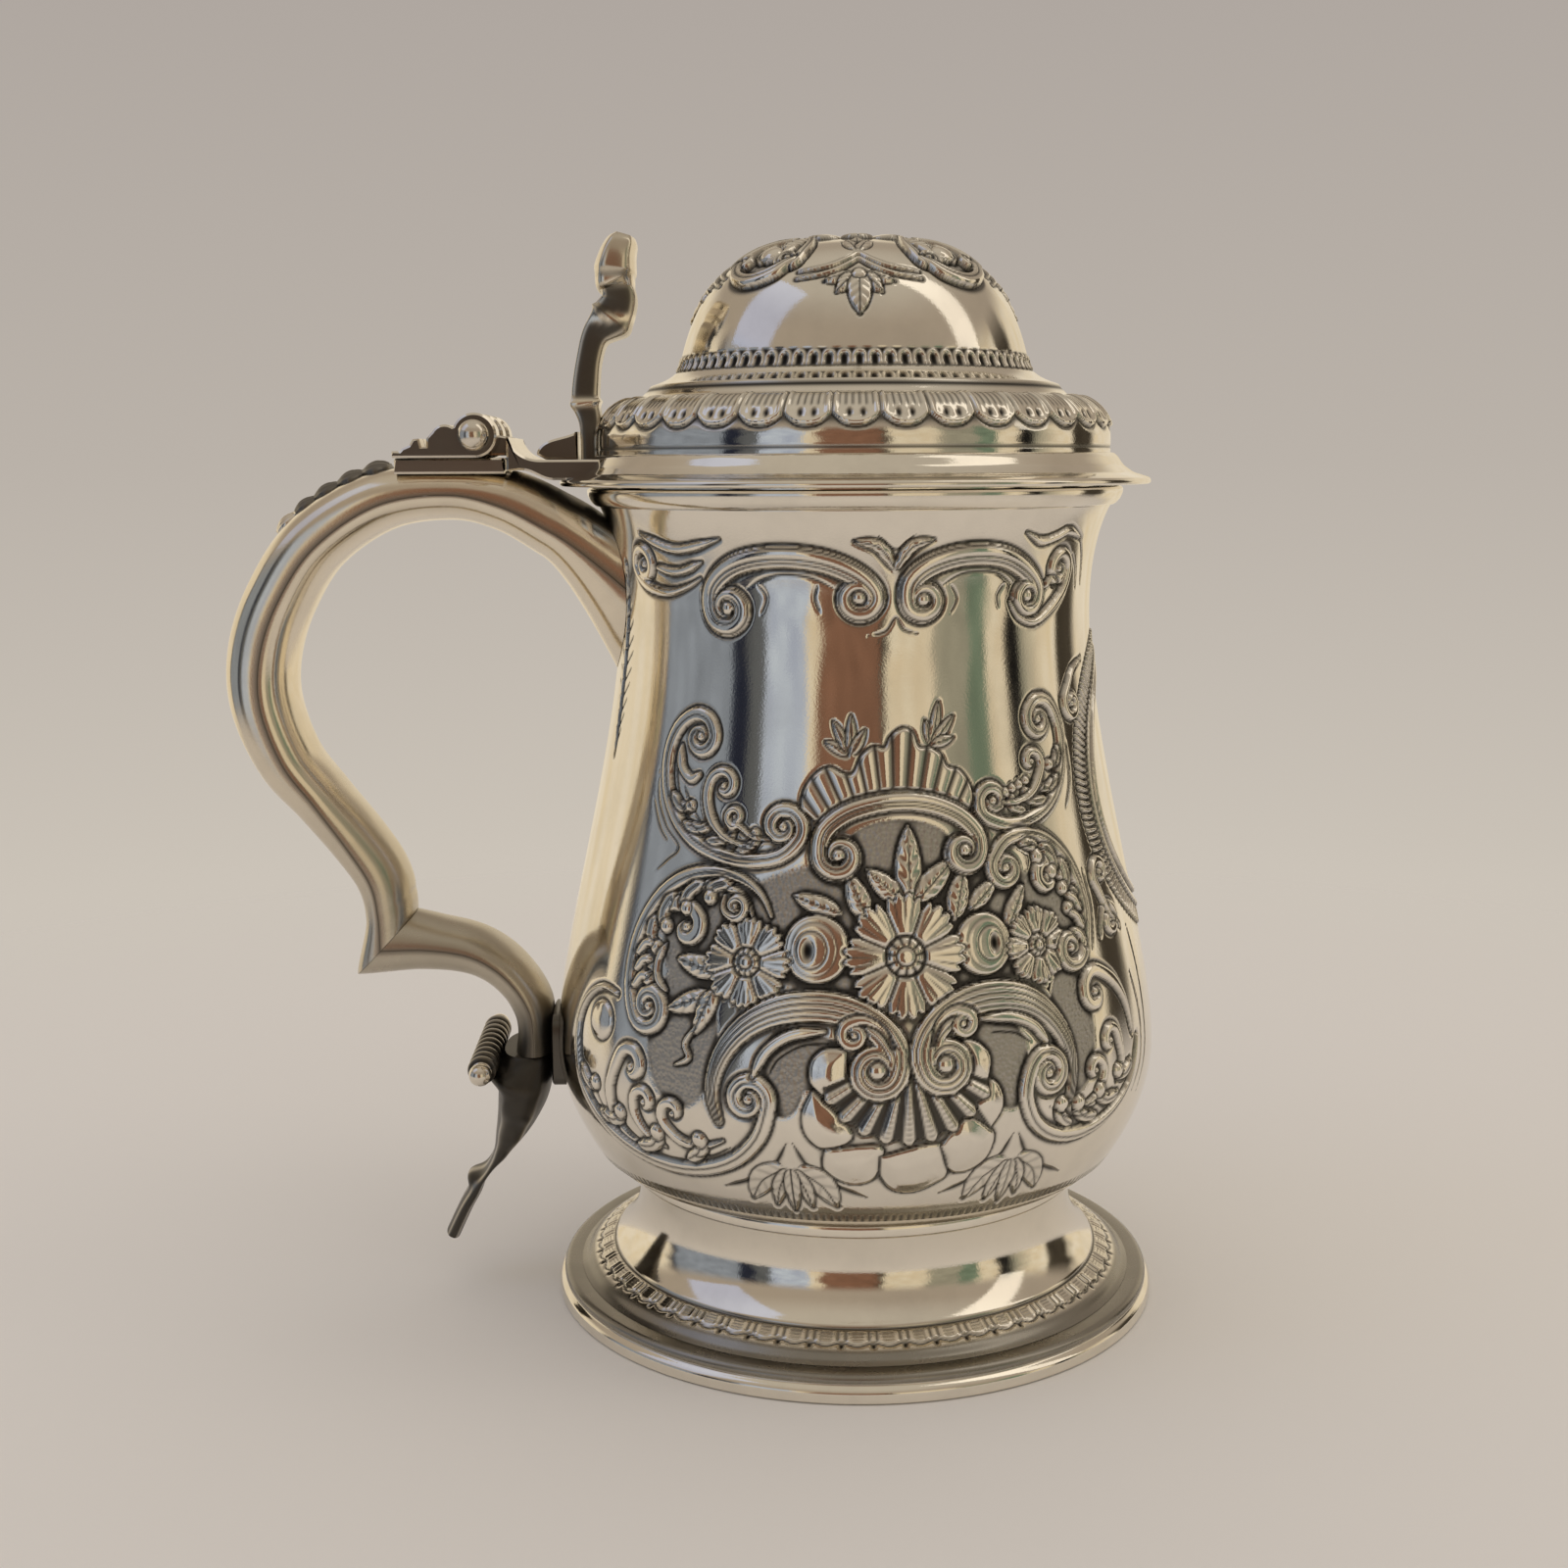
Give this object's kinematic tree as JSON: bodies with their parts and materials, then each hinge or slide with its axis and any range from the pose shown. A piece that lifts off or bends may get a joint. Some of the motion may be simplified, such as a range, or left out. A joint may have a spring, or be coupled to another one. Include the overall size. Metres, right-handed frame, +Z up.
{
  "type": "lidded tankard",
  "caption": "Silver baluster tankard with a hinged domed cover, scroll thumbpiece, hollow double-scroll handle, spreading foot and rococo chasing.",
  "frame": {"origin": "centre of the resting face of the foot, on the table", "axes": "+Z up along the axis of the body, -X towards the handle and the hinge, +Y along the hinge pin"},
  "size_m": [0.1752, 0.116, 0.2],
  "materials": {
    "silver_plain": "polished, with soft wear and a warm tone",
    "silver_chased": "polished relief over a matted ground, darkened in the hollows",
    "silver_cast": "cast and filed, polished on the high parts, darkened in the grooves"
  },
  "bodies": {
    "vessel": {"foot_wire": "silver_plain", "foot": "silver_plain", "foot_collar": "silver_plain", "body": "silver_chased", "lip_wire": "silver_plain", "handle_back": "silver_plain", "handle_belly": "silver_plain", "scroll_back": "silver_plain", "scroll_belly": "silver_plain", "lower_pad": "silver_plain", "handle_roll": "silver_cast", "shield_terminal": "silver_cast", "husk_drop": "silver_cast", "hinge_bed": "silver_cast", "hinge_handle_leaf": "silver_cast", "hinge_pin": "silver_cast", "pin_balls": "silver_cast"},
    "lid": {"lid_flange": "silver_plain", "lid_bezel": "silver_plain", "lid_dome": "silver_chased", "hinge_lid_leaf": "silver_cast", "thumb_bracket": "silver_cast", "thumbpiece": "silver_cast"}
  },
  "joints": [
    {"name": "lid_hinge", "type": "hinge", "parent": "vessel", "child": "lid", "pos_m": [-0.0687, 0, 0.164], "axis": [0, -1, 0], "range_deg": [0, 110]}
  ]
}
